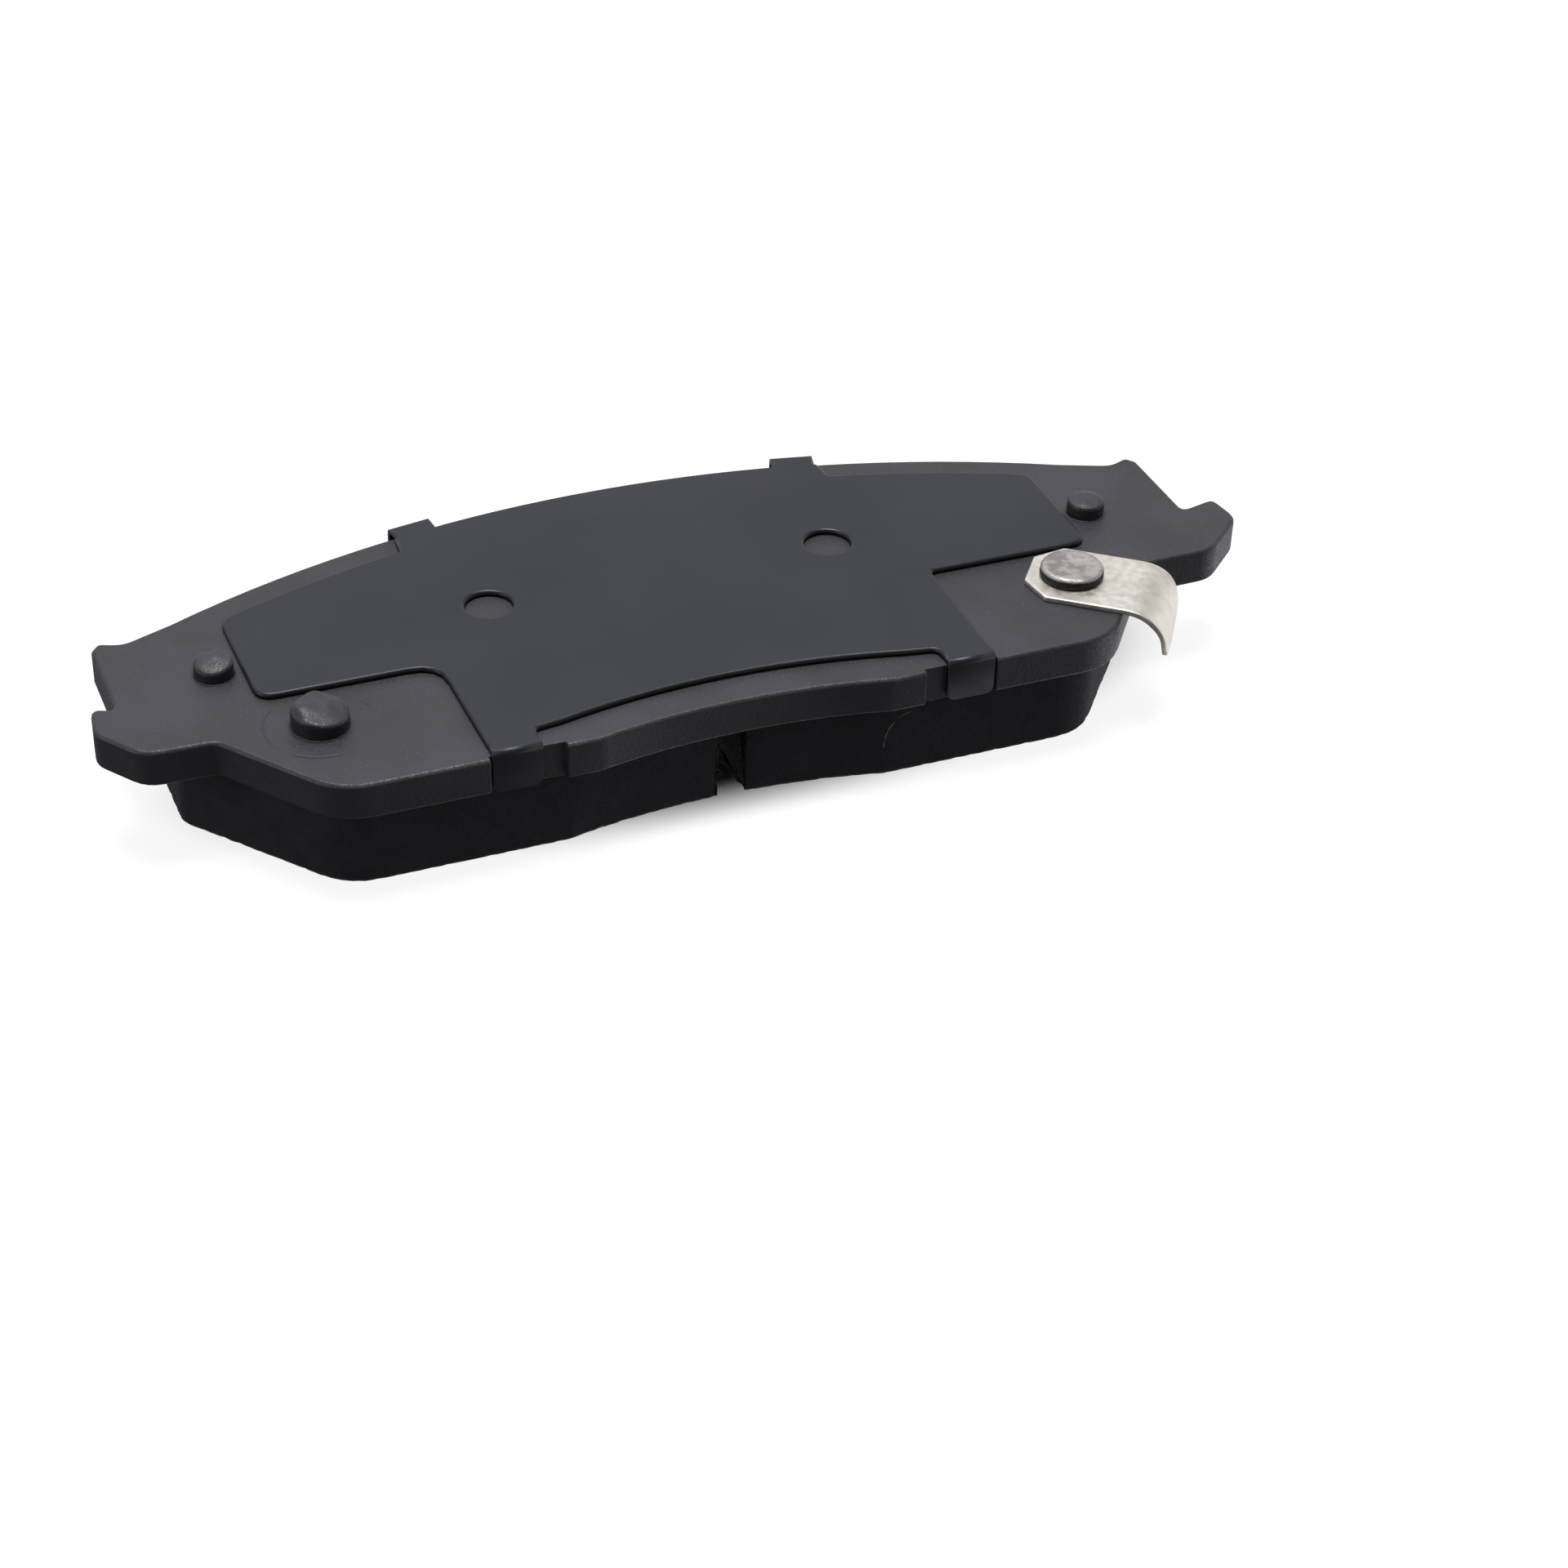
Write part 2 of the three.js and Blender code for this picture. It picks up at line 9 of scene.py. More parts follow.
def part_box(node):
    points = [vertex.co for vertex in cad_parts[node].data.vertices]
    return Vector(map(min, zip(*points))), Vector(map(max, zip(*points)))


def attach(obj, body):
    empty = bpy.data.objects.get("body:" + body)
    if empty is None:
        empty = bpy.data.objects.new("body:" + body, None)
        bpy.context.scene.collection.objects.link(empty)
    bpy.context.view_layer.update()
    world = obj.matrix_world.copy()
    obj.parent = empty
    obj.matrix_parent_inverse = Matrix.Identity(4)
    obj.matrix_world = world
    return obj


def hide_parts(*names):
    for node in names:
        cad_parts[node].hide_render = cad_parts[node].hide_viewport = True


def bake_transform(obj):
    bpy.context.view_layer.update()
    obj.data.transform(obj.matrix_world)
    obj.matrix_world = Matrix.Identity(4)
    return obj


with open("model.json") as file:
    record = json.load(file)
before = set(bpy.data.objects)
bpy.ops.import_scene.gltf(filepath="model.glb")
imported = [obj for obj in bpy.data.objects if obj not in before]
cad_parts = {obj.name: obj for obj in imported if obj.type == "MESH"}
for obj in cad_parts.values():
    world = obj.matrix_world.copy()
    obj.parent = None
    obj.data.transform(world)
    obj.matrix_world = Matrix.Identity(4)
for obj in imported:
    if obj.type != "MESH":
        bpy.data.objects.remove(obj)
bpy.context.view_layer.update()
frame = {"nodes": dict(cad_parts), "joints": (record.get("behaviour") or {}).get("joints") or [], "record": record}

# ---- the table it lies on -----------------------------------------------------------------------------------
# A pale sheet of card, lit by a lamp overhead, a window low behind the pad, a weak lamp at the left and
# light off the table at the right. The card glows evenly white, but the glow fades out in an ellipse round
# the pad: a painted shadow under it. The camera stands low in front of the concave edge, past the left hook,
# and looks down along the back of the plate.
EYE = Vector((-0.1274, -0.3334, 0.2401))
LOOK = Vector((0.3214, 0.7499, -0.5782))
ROLL = math.radians(2.11)
LENS = 74.98
CARD = 4.0
CARD_WHITE = (0.22, 0.22, 0.22, 1)
CARD_GLOW = 0.88
CARD_PAINTED_SHADOW = (0.066, 0.026)
CARD_PAINTED_SHADOW_FADE = (0.7, 1.1)
WINDOW = (Vector((-0.1, 0.95, 0.3)).normalized(), 0.45, 0.99, 0.66)
TABLE_BOUNCE = (Vector((0.92, 0.2, -0.35)).normalized(), 0.34, 0.90, 1.0)
ROOM_DIM = 0.12
DAYLIGHT = (0.99, 0.975, 1.04)
LAMP_PLACE = Vector((0.0, 0.1, 1.2))
LAMP_SIDE = 0.6
LAMP_POWER = 16.0
LEFT_FILL_PLACE = Vector((-1.1, -0.1, 0.3))
LEFT_FILL_POWER = 2.6

scene = bpy.context.scene
scene.view_settings.view_transform = "Standard"
camera_data = bpy.data.cameras.new("camera")
camera_data.sensor_width = 36.0
camera_data.lens = LENS
camera_data.clip_start = 0.01
camera = bpy.data.objects.new("camera", camera_data)
aim = LOOK.to_track_quat("-Z", "Y").to_matrix().to_4x4()
camera.matrix_world = Matrix.Translation(EYE) @ aim @ Matrix.Rotation(ROLL, 4, "Z")
scene.collection.objects.link(camera)
scene.camera = camera


def new_finish(name, roughness, metallic=0.0):
    """A material, its node tree, its shader, and the place on the piece in metres."""
    material = bpy.data.materials.new(name)
    material.use_nodes = True
    tree = material.node_tree
    shader = tree.nodes["Principled BSDF"]
    shader.inputs["Roughness"].default_value = roughness
    shader.inputs["Metallic"].default_value = metallic
    place = tree.nodes.new("ShaderNodeTexCoord").outputs["Object"]
    return material, tree, shader, place


def link(tree, source, target):
    tree.links.new(source, target)


def card():
    material, tree, shader, place = new_finish("card", 0.9)
    shader.inputs["Base Color"].default_value = CARD_WHITE
    shader.inputs["Emission Color"].default_value = (1, 1, 1, 1)
    # The glow fades out in an ellipse round the pad, so the card is dark under it and through the slot: painted
    # shadow.
    squash = tree.nodes.new("ShaderNodeMapping")
    squash.inputs["Scale"].default_value = (1 / CARD_PAINTED_SHADOW[0], 1 / CARD_PAINTED_SHADOW[1], 0)
    link(tree, place, squash.inputs["Vector"])
    far = tree.nodes.new("ShaderNodeVectorMath")
    far.operation = "LENGTH"
    link(tree, squash.outputs["Vector"], far.inputs[0])
    glow = tree.nodes.new("ShaderNodeMapRange")
    glow.interpolation_type = "SMOOTHSTEP"
    glow.inputs["From Min"].default_value = CARD_PAINTED_SHADOW_FADE[0]
    glow.inputs["From Max"].default_value = CARD_PAINTED_SHADOW_FADE[1]
    glow.inputs["To Max"].default_value = CARD_GLOW
    link(tree, far.outputs["Value"], glow.inputs["Value"])
    link(tree, glow.outputs["Result"], shader.inputs["Emission Strength"])
    mesh = bpy.data.meshes.new("card")
    half = CARD / 2
    corners = [(-half, -half, 0), (half, -half, 0), (half, half, 0), (-half, half, 0)]
    mesh.from_pydata(corners, [], [(0, 1, 2, 3)])
    mesh.materials.append(material)
    sheet = bpy.data.objects.new("card", mesh)
    scene.collection.objects.link(sheet)
    sheet.visible_diffuse = False
    sheet.visible_glossy = False


def glow_towards(tree, ahead, towards, start, full, strength):
    """Light that comes from one side of the room."""
    facing = tree.nodes.new("ShaderNodeVectorMath")
    facing.operation = "DOT_PRODUCT"
    facing.inputs[1].default_value = towards
    link(tree, ahead, facing.inputs[0])
    ramp = tree.nodes.new("ShaderNodeMapRange")
    ramp.interpolation_type = "SMOOTHSTEP"
    ramp.inputs["From Min"].default_value = start
    ramp.inputs["From Max"].default_value = full
    ramp.inputs["To Max"].default_value = strength
    link(tree, facing.outputs["Value"], ramp.inputs["Value"])
    return ramp.outputs["Result"]


def room():
    """A dim room with a window behind the pad and light bounced up off the table to the right of it."""
    world = bpy.data.worlds.new("room")
    world.use_nodes = True
    tree = world.node_tree
    ahead = tree.nodes.new("ShaderNodeTexCoord").outputs["Generated"]
    both = tree.nodes.new("ShaderNodeMath")
    link(tree, glow_towards(tree, ahead, *WINDOW), both.inputs[0])
    link(tree, glow_towards(tree, ahead, *TABLE_BOUNCE), both.inputs[1])
    total = tree.nodes.new("ShaderNodeMath")
    total.inputs[1].default_value = ROOM_DIM
    link(tree, both.outputs["Value"], total.inputs[0])
    link(tree, total.outputs["Value"], tree.nodes["Background"].inputs["Strength"])
    tree.nodes["Background"].inputs["Color"].default_value = (*DAYLIGHT, 1)
    scene.world = world


def lamp(name, place, side, power):
    data = bpy.data.lights.new(name, "AREA")
    data.shape = "SQUARE"
    data.size = side
    data.energy = power
    data.color = DAYLIGHT
    light = bpy.data.objects.new(name, data)
    turn = (-place).to_track_quat("-Z", "Y").to_matrix().to_4x4()
    light.matrix_world = Matrix.Translation(place) @ turn
    scene.collection.objects.link(light)


card()
room()
lamp("overhead", LAMP_PLACE, LAMP_SIDE, LAMP_POWER)
lamp("left_fill", LEFT_FILL_PLACE, LAMP_SIDE, LEFT_FILL_POWER)

# ---- backing plate ------------------------------------------------------------------------------------------
# A 5 mm steel blank, fine-blanked so that its edges roll over, with two hooks that hang it in the bracket.
# Three pegs are pressed out of its back: their tops are left as the punch tore them. All of it
# has a black powder coat.
PLATE_ROLL = 0.00016
COAT_DARK = (0.020, 0.0195, 0.0225, 1)
COAT_LIGHT = (0.032, 0.0305, 0.0355, 1)
COAT_PEEL = 0.00032
COAT_PEEL_DEPTH = 0.00005
PLATE_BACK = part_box("shim_liner")[0].z - 0.00002
RIVET_LOW, RIVET_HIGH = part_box("indicator_rivet")
RIVET = Vector(((RIVET_LOW.x + RIVET_HIGH.x) / 2, (RIVET_LOW.y + RIVET_HIGH.y) / 2, 0))
ears = {mount["name"]: Vector(mount["pos_m"]) for mount in frame["record"]["mounts"]}
MIDDLE_X = (ears["ear_face_left"].x + ears["ear_face_right"].x) / 2
LARGE_PEG = Vector((2 * MIDDLE_X - RIVET.x, RIVET.y, 0))
LARGE_PEG_RADIUS = 0.0036
SMALL_PEG_LEFT = Vector((-0.060768, 0.001, 0))
SMALL_PEG_RIGHT = Vector((2 * MIDDLE_X - SMALL_PEG_LEFT.x, SMALL_PEG_LEFT.y, 0))
SMALL_PEG_RADIUS = 0.0025
COAT_SPECK = (0.07, 0.068, 0.07, 1)
RING_RADIUS = 0.0069
RING_HALF_WIDTH = 0.0003
CREASE_INSET = 0.0052
CREASE_HALF_WIDTH = 0.00025
MARK_SHADE = (0.008, 0.008, 0.009, 1)
MARK_DEPTH = 0.00004
PEG_FOOT_WIDTH = 0.0007
PEG_FOOT_FADE = (0.0185, 0.0193)
PEG_FOOT_SHADOW = (0.007, 0.007, 0.0085, 1)
TORN_RINGS = 6


def texture(tree, place, size, detail=2.0, squeeze=(1, 1, 1)):
    """Noise whose grains are about `size` metres across."""
    stretch = tree.nodes.new("ShaderNodeMapping")
    stretch.inputs["Scale"].default_value = squeeze
    link(tree, place, stretch.inputs["Vector"])
    grain = tree.nodes.new("ShaderNodeTexNoise")
    grain.inputs["Scale"].default_value = 1 / size
    grain.inputs["Detail"].default_value = detail
    link(tree, stretch.outputs["Vector"], grain.inputs["Vector"])
    return grain.outputs["Fac"]


def fade(tree, value, start, end, low=0.0, high=1.0):
    """Goes from low to high while value goes from start to end."""
    node = tree.nodes.new("ShaderNodeMapRange")
    node.interpolation_type = "SMOOTHSTEP"
    node.inputs["From Min"].default_value = start
    node.inputs["From Max"].default_value = end
    node.inputs["To Min"].default_value = low
    node.inputs["To Max"].default_value = high
    link(tree, value, node.inputs["Value"])
    return node.outputs["Result"]


def sums(tree, operation, first, second):
    node = tree.nodes.new("ShaderNodeMath")
    node.operation = operation
    for socket, value in zip(node.inputs, (first, second)):
        if isinstance(value, (int, float)):
            socket.default_value = value
        else:
            link(tree, value, socket)
    return node.outputs["Value"]


def blend_colours(tree, share, first, second):
    node = tree.nodes.new("ShaderNodeMix")
    node.data_type = "RGBA"
    link(tree, share, node.inputs["Factor"])
    colour_sockets = [socket for socket in node.inputs if socket.type == "RGBA"]
    for socket, value in zip(colour_sockets, (first, second)):
        if isinstance(value, tuple):
            socket.default_value = value
        else:
            link(tree, value, socket)
    return next(socket for socket in node.outputs if socket.type == "RGBA")


def relief(tree, shader, height, depth, under=None):
    """Raises the surface by height times depth, on top of an earlier relief."""
    node = tree.nodes.new("ShaderNodeBump")
    node.inputs["Distance"].default_value = depth
    link(tree, height, node.inputs["Height"])
    if under is not None:
        link(tree, under, node.inputs["Normal"])
    link(tree, node.outputs["Normal"], shader.inputs["Normal"])
    return node.outputs["Normal"]


def distance_from(tree, place, point):
    """Distance across the plate from an upright axis through point."""
    flat = tree.nodes.new("ShaderNodeVectorMath")
    flat.operation = "MULTIPLY"
    flat.inputs[1].default_value = (1, 1, 0)
    link(tree, place, flat.inputs[0])
    gap = tree.nodes.new("ShaderNodeVectorMath")
    gap.operation = "DISTANCE"
    gap.inputs[1].default_value = (point.x, point.y, 0)
    link(tree, flat.outputs["Vector"], gap.inputs[0])
    return gap.outputs["Value"]


def part_of(tree, place, axis):
    node = tree.nodes.new("ShaderNodeSeparateXYZ")
    link(tree, place, node.inputs["Vector"])
    return node.outputs[axis]


def line_at(tree, value, centre, half_width):
    """1 on a line where value is centre, 0 away from it."""
    off = sums(tree, "ABSOLUTE", sums(tree, "SUBTRACT", value, centre), 0.0)
    return fade(tree, off, 0.0, half_width, 1.0, 0.0)


def plate_finish():
    material, tree, shader, place = new_finish("powder_coat", 0.5)
    shader.inputs["Specular IOR Level"].default_value = 0.5
    peel = texture(tree, place, COAT_PEEL, 3.0)
    cloud = texture(tree, place, 0.012, 3.0)
    speck = fade(tree, texture(tree, place, 0.0003, 1.0), 0.68, 0.8)
    colour = blend_colours(tree, fade(tree, cloud, 0.3, 0.7), COAT_DARK, COAT_LIGHT)
    colour = blend_colours(tree, speck, colour, COAT_SPECK)
    # Dark lines are painted along the ring round the large peg and a crease line near the left ear, over shallow
    # grooves: painted shade in the grooves. Noise breaks the ring into pieces.
    ring = line_at(tree, distance_from(tree, place, LARGE_PEG), RING_RADIUS, RING_HALF_WIDTH)
    worn = fade(tree, texture(tree, place, 0.006, 1.0), 0.48, 0.6)
    ring = sums(tree, "MULTIPLY", ring, worn)
    crease_x = ears["ear_face_left"].x + CREASE_INSET
    crease = line_at(tree, part_of(tree, place, "X"), crease_x, CREASE_HALF_WIDTH)
    crease = sums(tree, "MULTIPLY", crease, fade(tree, texture(tree, place, 0.01, 1.0), 0.4, 0.6))
    marks = sums(tree, "MAXIMUM", ring, crease)
    # A dark ring is painted round the foot of each peg and fades out up its side: painted contact shadow.
    for peg, radius in ((LARGE_PEG, LARGE_PEG_RADIUS), (SMALL_PEG_LEFT, SMALL_PEG_RADIUS),
                        (SMALL_PEG_RIGHT, SMALL_PEG_RADIUS)):
        foot = line_at(tree, distance_from(tree, place, peg), radius, PEG_FOOT_WIDTH)
        foot = sums(tree, "MULTIPLY", foot, fade(tree, part_of(tree, place, "Z"), *PEG_FOOT_FADE, 1.0, 0.0))
        colour = blend_colours(tree, sums(tree, "MULTIPLY", foot, 0.75), colour, PEG_FOOT_SHADOW)
    colour = blend_colours(tree, sums(tree, "MULTIPLY", marks, 0.6), colour, MARK_SHADE)
    link(tree, colour, shader.inputs["Base Color"])
    link(tree, fade(tree, peel, 0.3, 0.7, 0.40, 0.62), shader.inputs["Roughness"])
    under = relief(tree, shader, peel, COAT_PEEL_DEPTH)
    relief(tree, shader, marks, -MARK_DEPTH, under)
    return material


def clean_copy(node):
    """The node's mesh, welded, with its flat faces whole again."""
    work = bmesh.new()
    work.from_mesh(frame["nodes"][node].data)
    bmesh.ops.remove_doubles(work, verts=work.verts, dist=1e-6)
    bmesh.ops.dissolve_limit(work, angle_limit=math.radians(1.0), verts=work.verts, edges=work.edges)
    return work


def round_over(work, edges, radius, segments):
    bmesh.ops.bevel(work, geom=edges, offset=radius, segments=segments, profile=0.5, affect="EDGES",
                    clamp_overlap=False)


def roll_edges(work, roll, segments=3, sharper_than=25.0):
    """Rounds the edges that turn by more than so many degrees."""
    limit = math.radians(sharper_than)
    sharp = [edge for edge in work.edges if len(edge.link_faces) == 2 and edge.calc_face_angle(0) > limit]
    round_over(work, sharp, roll, segments)


def finished_piece(name, work, material):
    for face in work.faces:
        face.smooth = True
    mesh = bpy.data.meshes.new(name)
    work.to_mesh(mesh)
    work.free()
    mesh.materials.append(material)
    piece = bpy.data.objects.new(name, mesh)
    scene.collection.objects.link(piece)
    even = piece.modifiers.new("even shading", "WEIGHTED_NORMAL")
    even.weight = 90
    return piece


def torn_top(work, centre, radius, lean, lumps, seed):
    """Breaks up a peg's flat top: a lumpy cap that leans, with a worn and uneven rim."""
    above = PLATE_BACK + radius / 2
    fan = [f for f in work.faces if f.normal.z > 0.9 and f.calc_center_median().z > above
           and (f.calc_center_median() - centre).xy.length < radius]
    top = bmesh.ops.dissolve_faces(work, faces=fan)["region"][0]
    rim_height = top.calc_center_median().z
    for ring in range(TORN_RINGS):
        bmesh.ops.inset_individual(work, faces=[top], thickness=radius / 7.5)
    bmesh.ops.poke(work, faces=[top])
    for vertex in work.verts:
        out = (vertex.co - centre).xy / radius
        if out.length > 1.05 or vertex.co.z < rim_height - 0.0006:
            continue
        lump = noise.noise(Vector((out.x * 1.3, out.y * 1.3, seed)))
        chip = max(0.0, noise.noise(Vector((out.x * 2.1, out.y * 2.1, seed + 5.0))))
        cap = radius * (0.10 - 0.12 * out.length ** 2 + lumps * (lump - 0.5 * chip) + lean.dot(out))
        vertex.co.z += cap if out.length < 0.9 else min(cap, 0.0)
        vertex.co.xy += (vertex.co - centre).xy * 0.05 * noise.noise(Vector((out.x, out.y, seed + 9.0)))


plate_work = clean_copy("backing_plate")
torn_top(plate_work, LARGE_PEG, LARGE_PEG_RADIUS, Vector((-0.08, 0.14)), 0.18, 2.5)
torn_top(plate_work, SMALL_PEG_LEFT, SMALL_PEG_RADIUS, Vector((0.06, 0.10)), 0.11, 4.5)
torn_top(plate_work, SMALL_PEG_RIGHT, SMALL_PEG_RADIUS, Vector((0.02, 0.05)), 0.05, 7.5)
roll_edges(plate_work, PLATE_ROLL)
plate = finished_piece("blanked_plate", plate_work, plate_finish())
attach(plate, "root")
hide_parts("backing_plate")

# ---- underlayer ---------------------------------------------------------------------------------------------
# A 2 mm bed of softer bonding mix, pressed between plate and friction block in the same mould. It squeezes
# out a little and unevenly round the rim, and is painted over with the plate.
RIM_STEP = 0.0012
RIM_WANDER = 0.00015
RIM_GRAIN = 0.004
BED_DARK = (0.024, 0.0235, 0.026, 1)
BED_LIGHT = (0.040, 0.039, 0.042, 1)


def cut_rim(work, step):
    """Cuts the long edges round the rim into short ones."""
    for edge in list(work.edges):
        level = abs(edge.verts[0].co.z - edge.verts[1].co.z) < 1e-6
        cuts = int(edge.calc_length() / step)
        if level and cuts > 0:
            bmesh.ops.subdivide_edges(work, edges=[edge], cuts=cuts)


def wander(work, amount, grain):
    """Moves each point sideways along its own normal, inwards more than outwards."""
    work.normal_update()
    moves = [(v, v.normal.copy()) for v in work.verts]
    for vertex, normal in moves:
        normal.z = 0
        vertex.co += normal * amount * (noise.noise(vertex.co / grain) - 0.4)


def moulding_paint():
    material, tree, shader, place = new_finish("moulding_paint", 0.75)
    shader.inputs["Specular IOR Level"].default_value = 0.35
    grit = texture(tree, place, 0.0005, 4.0)
    cloud = texture(tree, place, 0.008, 3.0)
    colour = blend_colours(tree, fade(tree, cloud, 0.35, 0.7), BED_DARK, BED_LIGHT)
    link(tree, colour, shader.inputs["Base Color"])
    link(tree, fade(tree, grit, 0.3, 0.7, 0.65, 0.85), shader.inputs["Roughness"])
    relief(tree, shader, grit, 0.00008)
    return material


bed_work = clean_copy("underlayer")
cut_rim(bed_work, RIM_STEP)
wander(bed_work, RIM_WANDER, RIM_GRAIN)
bed = finished_piece("bonding_bed", bed_work, moulding_paint())
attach(bed, "root")
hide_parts("underlayer")

# ---- friction block -----------------------------------------------------------------------------------------
# Resin, steel and mineral fibres, graphite and brass chips, hot-pressed into a hard crumbly block. The face
# is ground flat, the slot is sawn after pressing, and the sides are sprayed black with the rest.
BLOCK_STEP = 0.0005
RIM_CHIP = 0.00022
SLOT_CHIP = 0.00075
FACE_GREY = (0.125, 0.118, 0.108, 1)
FACE_DARK = (0.055, 0.050, 0.045, 1)
GRAPHITE_CHIP = (0.03, 0.027, 0.025, 1)
RUST_CHIP = (0.16, 0.06, 0.04, 1)
BRASS_CHIP = (0.62, 0.52, 0.36, 1)
MINERAL_CHIP = (0.70, 0.68, 0.62, 1)
SIDE_PAINT_DARK = (0.024, 0.0235, 0.026, 1)
SIDE_PAINT_LIGHT = (0.031, 0.0305, 0.033, 1)
SIDE_DUST = (0.16, 0.16, 0.17, 1)
SAWN_DARK_AND_SHADE = (0.010, 0.0095, 0.0105, 1)
SAWN_LIGHT = (0.032, 0.029, 0.027, 1)
SLOT_CHIP_REACH = 0.0006
SLOT_HALF = 0.0017
SLOT_TOP = 0.009
block_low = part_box("friction_block")[0]


def pressed_block():
    """The block with its ground edges crumbled a little, and chipped more where the saw came through."""
    work = clean_copy("friction_block")
    for edge in list(work.edges):
        first, second = (vertex.co for vertex in edge.verts)
        sawn = max(abs(abs(point.x - MIDDLE_X) - SLOT_HALF) for point in (first, second)) < 0.0003
        low = max(first.z, second.z) < 1e-5
        cuts = int(edge.calc_length() / BLOCK_STEP)
        if (low or sawn) and cuts > 0:
            bmesh.ops.subdivide_edges(work, edges=[edge], cuts=cuts)
    rims = [edge for edge in work.edges if edge.calc_face_angle_signed(0) > math.radians(50)]
    round_over(work, rims, RIM_CHIP, 2)
    work.normal_update()
    moves = []
    for vertex in work.verts:
        sawn = math.exp(-((abs(vertex.co.x - MIDDLE_X) - SLOT_HALF) / SLOT_CHIP_REACH) ** 2)
        chip = max(0.0, noise.noise(vertex.co / 0.0011) + 0.15)
        moves.append((vertex, vertex.normal * -chip * max(RIM_CHIP * 0.5, SLOT_CHIP * sawn)))
    for vertex, move in moves:
        vertex.co += move
        vertex.co.z = max(vertex.co.z, 0.0)
    return work


def flecks(tree, place, size, rarity, squeeze=(1, 1, 1)):
    """Scattered chips about `size` metres across: 1 on a chip, 0 between them."""
    stretch = tree.nodes.new("ShaderNodeMapping")
    stretch.inputs["Scale"].default_value = squeeze
    link(tree, place, stretch.inputs["Vector"])
    cells = tree.nodes.new("ShaderNodeTexVoronoi")
    cells.inputs["Scale"].default_value = 1 / (2.2 * size)
    link(tree, stretch.outputs["Vector"], cells.inputs["Vector"])
    luck = part_of(tree, cells.outputs["Color"], "X")
    near = fade(tree, cells.outputs["Distance"], 0.2, 0.32, 1.0, 0.0)
    return sums(tree, "MULTIPLY", near, fade(tree, luck, rarity, rarity + 0.01))


def friction_mix():
    material, tree, shader, place = new_finish("friction_mix", 0.9)
    shader.inputs["Specular IOR Level"].default_value = 0.3
    grit = texture(tree, place, 0.0004, 5.0)
    cloud = texture(tree, place, 0.003, 4.0)
    ground = blend_colours(tree, fade(tree, grit, 0.35, 0.65), FACE_DARK, FACE_GREY)
    ground = blend_colours(tree, flecks(tree, place, 0.0004, 0.86), ground, GRAPHITE_CHIP)
    ground = blend_colours(tree, flecks(tree, place, 0.0003, 0.93), ground, RUST_CHIP)
    ground = blend_colours(tree, flecks(tree, place, 0.00045, 0.93, (1, 2.2, 1)), ground, BRASS_CHIP)
    ground = blend_colours(tree, flecks(tree, place, 0.0004, 0.96, (2.0, 1, 1)), ground, MINERAL_CHIP)
    paint = blend_colours(tree, fade(tree, cloud, 0.3, 0.75), SIDE_PAINT_DARK, SIDE_PAINT_LIGHT)
    dust = fade(tree, texture(tree, place, 0.00022, 1.0), 0.70, 0.8)
    paint = blend_colours(tree, sums(tree, "MULTIPLY", dust, 0.5), paint, SIDE_DUST)
    # Slot walls: raw sawn mix, darker than the paint: partly its own colour, partly painted shade in the slot.
    raw_and_shaded = blend_colours(tree, fade(tree, cloud, 0.4, 0.6), SAWN_DARK_AND_SHADE, SAWN_LIGHT)
    across = sums(tree, "ABSOLUTE", sums(tree, "SUBTRACT", part_of(tree, place, "X"), MIDDLE_X), 0.0)
    height = part_of(tree, place, "Z")
    in_slot = sums(tree, "MULTIPLY", fade(tree, across, SLOT_HALF + 0.0002, SLOT_HALF + 0.0004, 1, 0),
                   fade(tree, height, SLOT_TOP + 0.0002, SLOT_TOP + 0.0004, 1, 0))
    colour = blend_colours(tree, in_slot, paint, raw_and_shaded)
    overspray = sums(tree, "ADD", height, sums(tree, "MULTIPLY", grit, -0.0004))
    colour = blend_colours(tree, fade(tree, overspray, 0.0, 0.0002, 1, 0), colour, ground)
    link(tree, colour, shader.inputs["Base Color"])
    link(tree, fade(tree, grit, 0.3, 0.7, 0.8, 0.95), shader.inputs["Roughness"])
    under = relief(tree, shader, grit, 0.00006)
    relief(tree, shader, cloud, 0.00005, under)
    return material


block_mix = friction_mix()
block = finished_piece("pressed_block", pressed_block(), block_mix)
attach(block, "root")
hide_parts("friction_block")

# Loose fibre ends that the saw pulled out of the slot's walls and foot.
FIBRE_COUNT = 46
FIBRE_THICK = 0.00005
FIBRE_DARK = (0.05, 0.045, 0.04, 1)
FIBRE_PALE = (0.30, 0.27, 0.22, 1)
SLOT_MOUTH = block_low.y + 0.0024
HAIR_THICK = 0.00006
HAIR_TOP = Vector((0.0222, -0.02435, 0.0045))
HAIR_REACH = 0.0036
HAIR_SWAY = -0.0002
HAIR_HANG = 0.0046
HAIR_STEPS = 14


def fibre(work, root, lean, length):
    """One thin bent hair, four-sided, from its root out to a point."""
    rings = []
    steps = 6
    for step in range(steps + 1):
        share = step / steps
        middle = root + lean * length * share + Vector((0, 0, -0.5 * length * share * share))
        thick = FIBRE_THICK * (1.05 - share)
        right, up = Vector((thick, 0, 0)), Vector((0, thick, thick))
        corners = (right, up, -right, -up)
        rings.append([work.verts.new(middle + corner) for corner in corners])
    for lower, upper in zip(rings, rings[1:]):
        for side in range(4):
            after = (side + 1) % 4
            work.faces.new((lower[side], lower[after], upper[after], upper[side]))
    work.faces.new(list(reversed(rings[0])))
    work.faces.new(rings[-1])


